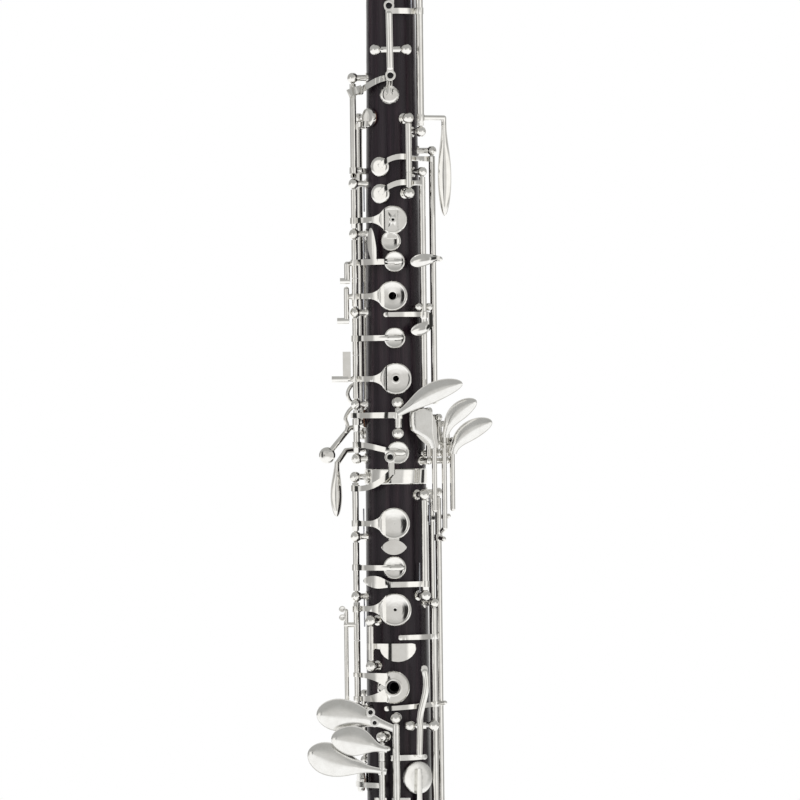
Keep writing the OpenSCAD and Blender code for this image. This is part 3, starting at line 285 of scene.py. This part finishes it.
def grid_mesh(name, rows, slot, body, finish=None):
    """A smooth skin through rows of points in millimetres; what it leaves open is closed by a flat face."""
    mesh = bpy.data.meshes.new(name)
    made = bmesh.new()
    grid = [[made.verts.new(Vector(p) * MM) for p in row] for row in rows]
    for above, below in zip(grid, grid[1:]):
        for i in range(len(above) - 1):
            made.faces.new((above[i], above[i + 1], below[i + 1], below[i]))
    bmesh.ops.remove_doubles(made, verts=made.verts, dist=0.00001)
    for face in made.faces:
        face.smooth = True
    rim = [edge for edge in made.edges if edge.is_boundary]
    for face in bmesh.ops.holes_fill(made, edges=rim)["faces"]:
        face.smooth = False
        for edge in face.edges:
            edge.smooth = False
    bmesh.ops.recalc_face_normals(made, faces=made.faces)
    made.to_mesh(mesh)
    made.free()
    mesh.materials.append(MATERIALS[finish or slot])
    piece = bpy.data.objects.new(name, mesh)
    bpy.context.scene.collection.objects.link(piece)
    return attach(piece, body)


def crown(name, body, slot, path, w0, w1, face_y, rise, widest, swell, across=14, along=44):
    """A low dome on a touch whose flat front is at face_y, inside the touch's own outline."""
    rows = []
    for i in range(along + 1):
        t = math.sin(math.pi / 2 * i / along)
        half = max(leaf_width(t, w0, w1, widest, swell) - INSET, 0.0)
        centre, left = bezier(path, t), left_of(path, t)
        share = min(half / (FULL_WIDTH * w1), 1.0)
        row = []
        for side in spread(across):
            point = centre + left * (half * side)
            lift = rise * share * (1 - abs(side) ** ROUNDNESS)
            row.append((point.x, face_y + BURIED - lift, point.y))
        rows.append(row)
    return grid_mesh(name, rows, slot, body)


def wrapped(name, body, path, w0, w1, radius, rise, widest, along=32, across=12):
    """A low dome on a touch or an arm that is bent round the wood at a radius."""
    rows = []
    for i in range(along + 1):
        t = math.sin(math.pi / 2 * i / along)
        half = leaf_width(t, w0, w1, widest, 1.0)
        centre, left = bezier(path, t), left_of(path, t)
        share = min(half / w1, 1.0) * min(1.0, 4 * i / along)
        row = []
        for side in spread(across):
            point = centre + left * (half * side)
            out = radius - WRAP_BURIED + (WRAP_BURIED + rise * share) * (1 - abs(side) ** 2)
            angle = math.asin(max(-1, min(1, point.x / out)))
            row.append((out * math.sin(angle), -out * math.cos(angle), point.y))
        rows.append(row)
    return grid_mesh(name, rows, "silver_plate", body)


def bead(name, body, line, half, face_y, rise, across=12):
    """A half-round back along a lever whose flat front is at face_y, rounded off at both ends."""
    runs = [0.0]
    for spot, after in zip(line, line[1:]):
        runs.append(runs[-1] + (after - spot).length)
    rows = []
    for i, spot in enumerate(line):
        along = (line[min(i + 1, len(line) - 1)] - line[max(i - 1, 0)]).normalized()
        left = Vector((-along.y, along.x))
        to_end = min(runs[i], runs[-1] - runs[i]) / half
        share = math.sqrt(1 - (1 - min(to_end, 1)) ** 2)
        row = []
        for side in spread(across):
            point = spot + left * (half * share * side)
            lift = rise * share * (1 - abs(side) ** ROUNDNESS)
            row.append((point.x, face_y + BURIED - lift, point.y))
        rows.append(row)
    return grid_mesh(name, rows, "silver_plate", body)


def screw(name, body, u, z, floor_y, radius, lean, sides=24):
    """An adjusting screw's domed end in its barrel, turned round the bore by lean degrees; its near-black
    finish is painted shade standing for the shadow down in the barrel.
    """
    turn = Matrix.Rotation(math.radians(lean), 3, "Z")
    rows = []
    for share, out in ((0, 0.4), (0.5, 0.38), (0.8, 0.3), (0.95, 0.15), (1, -0.05)):
        reach = radius * share
        rows.append([turn @ Vector((u + reach * math.cos(a), floor_y - out, z + reach * math.sin(a)))
                     for a in circle(sides)])
    return grid_mesh(name, rows, "blued_steel", body, "screw_painted_shade")


def tube(name, body, points, radius, sides=12, steps=10):
    """A round wire with smooth bends through the points, and with closed ends that are drawn in."""
    spots = [Vector(p) for p in points]
    ends = [spots[0] * 2 - spots[1]] + spots + [spots[-1] * 2 - spots[-2]]
    line = []
    for i in range(1, len(ends) - 2):
        p0, p1, p2, p3 = ends[i - 1:i + 3]
        for k in range(steps):
            t = k / steps
            line.append(0.5 * (2 * p1 + (p2 - p0) * t + (2 * p0 - 5 * p1 + 4 * p2 - p3) * t * t
                               + (3 * p1 - p0 - 3 * p2 + p3) * t ** 3))
    line.append(spots[-1])
    rows = []
    side = Vector((0, 1, 0))
    for i, spot in enumerate(line):
        along = (line[min(i + 1, len(line) - 1)] - line[max(i - 1, 0)]).normalized()
        side = (side - along * side.dot(along)).normalized()
        other = along.cross(side)
        wide = radius if 0 < i < len(line) - 1 else radius * 0.4
        rows.append([tuple(spot + (side * math.cos(a) + other * math.sin(a)) * wide)
                     for a in circle(sides)])
    return grid_mesh(name, rows, "silver_plate", body)


def curled_plate():
    """The left hand's E flat touch: a plate that rolls over at its left edge and narrows into its stem."""
    # Each line across the plate has its height z and its left and right ends
    lines = [(384.9, 7.6, 14.4), (384.7, 6.8, 15.4), (384.0, 6.35, 15.9), (382.0, 6.25, 16.2),
             (379.0, 6.3, 16.3), (376.6, 6.6, 16.3), (375.2, 7.6, 16.3), (374.3, 9.2, 16.4),
             (373.2, 11.2, 16.5), (371.8, 13.0, 16.8), (370.2, 14.2, 17.2), (368.4, 14.9, 17.5)]
    face_y, across = -17.9, 20
    rows = []
    for z, left, right in lines:
        row = []
        for j in range(across + 1):
            share = j / across
            u = left + (right - left) * (1 - math.cos(math.pi * share)) / 2
            # A steep roll at the left, nearly flat in the middle and a soft fall at the right
            roll = 1.5 * math.exp(-(u - left) / 1.1) + 0.5 * share ** 3
            row.append((u, face_y + roll + 0.02 * (u - left), z))
        rows.append(row)
    return grid_mesh("left_e_flat_plate", rows, "silver_paddle", "left_e_flat")


# ---- skins: the pieces ----

# Name, body, slot, path of the leaf, half widths w0 and w1, y of the touch's front, rise, place of the
# greatest width along the path, and swell: the same leaves as the CAD's touches
CROWNS = [
    ("octave_side_crown", "octave_side", "silver_plate",
     [(22.3, 507), (22.3, 498), (22.5, 488), (22.2, 468)], 1.1, 2.9, -7.4, 0.9, 0.68, 1.0),
    ("back_trill_crown", "back_trill", "silver_plate",
     [(-25.2, 363), (-25.6, 356), (-25.9, 350), (-25.6, 339.2)], 1.1, 2.5, 3.9, 0.9, 0.68, 1.0),
    ("g_sharp_crown", "g_sharp", "silver_paddle",
     [(1, 383.2), (9, 387.4), (14, 393.6), (29, 396)], 1.3, 4.3, -20.2, 1.1, 0.66, 1.0),
    ("left_low_b_crown", "left_low_b", "silver_paddle",
     [(21.4, 373), (22.2, 380), (26.4, 385), (35, 388.4)], 1.4, 3.9, -14.2, 1.0, 0.66, 1.0),
    ("left_low_b_flat_crown", "left_low_b_flat", "silver_paddle",
     [(24.6, 366), (25.4, 371.5), (31, 377), (41.6, 379.4)], 1.6, 4.2, -10.0, 1.0, 0.66, 1.0),
    ("c_sharp_crown", "c_sharp", "silver_paddle",
     [(-1.2, 248.6), (-10, 252.6), (-17, 255.6), (-35, 255.3)], 1.5, 7, -19.3, 1.2, 0.8, 2.0),
    ("e_flat_crown", "e_flat", "silver_paddle",
     [(-5, 240.4), (-11, 241), (-15, 244.8), (-28.8, 245.1)], 1.4, 6.4, -22.8, 1.2, 0.72, 1.7),
    ("c_crown", "c_touch", "silver_paddle",
     [(-5.4, 230.6), (-15, 232.4), (-23, 232.6), (-38.6, 240)], 1.2, 7, -19.0, 1.2, 0.8, 2.0),
]

# Name, body, the ridge's two ends on its vent cup's arm and cup, half widths and the arm's outer radius
RIDGES = [
    ("c_vent_ridge", "c_vent", (-7, 448.4), (3.9, 448.4), 1.0, 1.15, 16.55),
    ("b_flat_vent_ridge", "b_flat_vent", (-7, 415.8), (3.8, 415.8), 1.0, 1.15, 17.25),
    ("bridge_vent_ridge", "bridge_vent", (-4.5, 367.2), (4.4, 366.6), 1.0, 1.2, 18.05),
    ("rh_small_vent_ridge", "rh_small_vent", (-7, 317.6), (3.2, 317.6), 1.0, 1.2, 18.45),
]
RIDGE_RISE = 0.5
RIDGE_WIDEST = 0.75

# The levers with half-round backs, both with their fronts at the same y
LEVER_FACE = -19.9
LEVER_RISE = 0.7
OCTAVE_BAR = between((-0.68, 555.5), (-0.42, 529.9), 60)
SWAN_NECK = [(11.2, 274.6), (14.2, 264), (8.2, 258), (9.2, 250)]
FOOT_BAR = [bezier(SWAN_NECK, i / 50) for i in range(50)] + between((9.2, 250), (8.8, 236.6), 40)

# Name, body, u, z, y of its barrel's floor, radius, and the lean of a barrel that stands on a slant
SCREWS = [
    ("octave_upper_screw", "octave_link", -0.7, 557.6, -19.1, 1.32, 0),
    ("octave_lower_screw", "octave_link", -0.4, 527.8, -19.1, 1.32, 0),
    ("bridge_screw", "rh_first", 0, 364.9, -19.58, 1.3, -6.5),
    ("c_sharp_upper_screw", "c_sharp", -11.9, 256.2, -20.2, 0.98, 0),
    ("c_sharp_lower_screw", "c_sharp", -10.2, 251.7, -20.2, 0.88, 0),
]

SIDE_TRILL_ROUTE = [(-15.4, 6.4, 396.5), (-18.6, 4.8, 395.6), (-20.3, 4.4, 392.6), (-19.6, 4.2, 389.6),
                    (-17.9, 4.2, 387.2), (-20.0, 4.2, 384.6), (-21.4, 4.0, 381.6), (-20.6, 3.8, 378.4),
                    (-21.4, 3.4, 375.2)]

for row in CROWNS:
    crown(*row)
for name, body, start, end, w0, w1, radius in RIDGES:
    wrapped(name, body, between(start, end, 3), w0, w1, radius, RIDGE_RISE, RIDGE_WIDEST)
wrapped("upper_trill_crown", "upper_trill", [(19.4, 450), (17.5, 449.8), (12, 449), (7.5, 447.7)],
        0.9, 2.5, 20.75, 0.6, 0.7)
bead("octave_rocker_back", "octave_link", OCTAVE_BAR, 1.3, LEVER_FACE, LEVER_RISE)
bead("foot_rocker_back", "foot_link", FOOT_BAR, 1.2, LEVER_FACE, LEVER_RISE)
for row in SCREWS:
    screw(*row)
curled_plate()
tube("side_trill_stem", "side_trill", SIDE_TRILL_ROUTE, 0.85)
wrapped("lower_trill_crown", "lower_trill", [(15.6, 422.2), (14.4, 420), (11, 419), (7.4, 418.6)],
        1.4, 2.4, 18.25, 0.6, 0.6)

# ---- room ----

# Brightness of the surroundings against the compass angle from the camera, in degrees to the right. The
# dark band just left of the camera shades the dished plates, and the two behind it outline the tubes.
SURROUND = [(-180, 1.0), (-152, 1.0), (-133, 0.85), (-129, 0.04), (-111, 0.04), (-108, 0.85), (-104, 0.85),
            (-96, 0.42), (-66, 0.5), (-56, 1.1), (-28, 1.1), (-26, 0.03), (-17.5, 0.03), (-16, 0.72),
            (24, 0.7), (32, 1.15), (58, 1.15), (70, 0.5), (98, 0.42), (104, 0.9), (108, 0.9),
            (111, 0.04), (129, 0.04), (133, 0.85), (152, 1.0), (180, 1.0)]
CEILING = 0.46
FLOOR_GLOW = 1.15
FLOOR_RADIUS = 2.5
FLOOR_SIDES = 128
LAMP_AIM = (0, 0, 0.36)


def area(name, place, size, power, colour=(1, 1, 1)):
    """A soft lamp that lights the oboe and isn't seen in its metal."""
    data = bpy.data.lights.new(name, "AREA")
    data.shape = "RECTANGLE"
    data.size, data.size_y = size
    data.energy = power
    data.color = colour
    lamp = bpy.data.objects.new(name, data)
    bpy.context.scene.collection.objects.link(lamp)
    direction = Vector(LAMP_AIM) - Vector(place)
    lamp.visible_glossy = False
    lamp.matrix_world = Matrix.Translation(place) @ direction.to_track_quat("-Z", "Y").to_matrix().to_4x4()


def add_world():
    """The surroundings that the metal mirrors; the camera itself sees plain white."""
    world = bpy.data.worlds.new("studio")
    bpy.context.scene.world = world
    world.use_nodes = True
    tree = world.node_tree
    g = Graph(tree)
    split = g.node("ShaderNodeSeparateXYZ",
                   {"Vector": g.node("ShaderNodeTexCoord").outputs["Generated"]})
    toward = g.node("ShaderNodeMath", operation="MULTIPLY")
    toward.inputs[0].default_value = -1
    tree.links.new(split.outputs["Y"], toward.inputs[1])
    angle = g.node("ShaderNodeMath", operation="ARCTAN2")
    tree.links.new(split.outputs["X"], angle.inputs[0])
    tree.links.new(toward.outputs[0], angle.inputs[1])
    turn = g.remap(angle.outputs[0], -math.pi, math.pi, 0.0, 1.0)
    around = g.ramp(turn, [((a + 180) / 360, (v, v * 0.99, v * 0.97)) for a, v in SURROUND])
    # The ceiling is a plain grey and the table a plain white
    height = split.outputs["Z"]
    sky = g.mix(g.remap(height, 0.16, 0.34, 0.0, 1.0), around, (CEILING, CEILING, CEILING * 0.98, 1))
    sky = g.mix(g.remap(height, -0.1, -0.24, 0.0, 1.0), sky, (FLOOR_GLOW, FLOOR_GLOW, FLOOR_GLOW, 1))
    seen = g.mix(g.node("ShaderNodeLightPath").outputs["Is Camera Ray"], sky, (1, 1, 1, 1))
    tree.links.new(seen, tree.nodes["Background"].inputs["Color"])


def add_floor():
    mesh = bpy.data.meshes.new("floor")
    turns = circle(FLOOR_SIDES)[:-1]
    mesh.from_pydata([(FLOOR_RADIUS * math.cos(a), FLOOR_RADIUS * math.sin(a), 0) for a in turns], [],
                     [tuple(range(FLOOR_SIDES))])
    floor = bpy.data.objects.new("floor", mesh)
    bpy.context.scene.collection.objects.link(floor)
    material, g, shader, place = new_material("floor")
    tone = g.ramp(g.noise(place, 12.0), [(0.3, 0.82), (0.7, 0.86)])
    wire(g, shader, Base_Color=tone)
    shader.inputs["Roughness"].default_value = 0.8
    mesh.materials.append(material)
    # The metal mirrors the world's white table instead, which no lamp shades
    floor.visible_glossy = False


add_camera()
add_world()
area("key_light", (-1.1, -1.4, 1.5), (0.8, 1.2), 16, (1, 0.985, 0.96))
area("fill_light", (1.3, -1.0, 0.9), (0.7, 1.2), 8)
add_floor()
bpy.context.scene.view_settings.view_transform = "Standard"
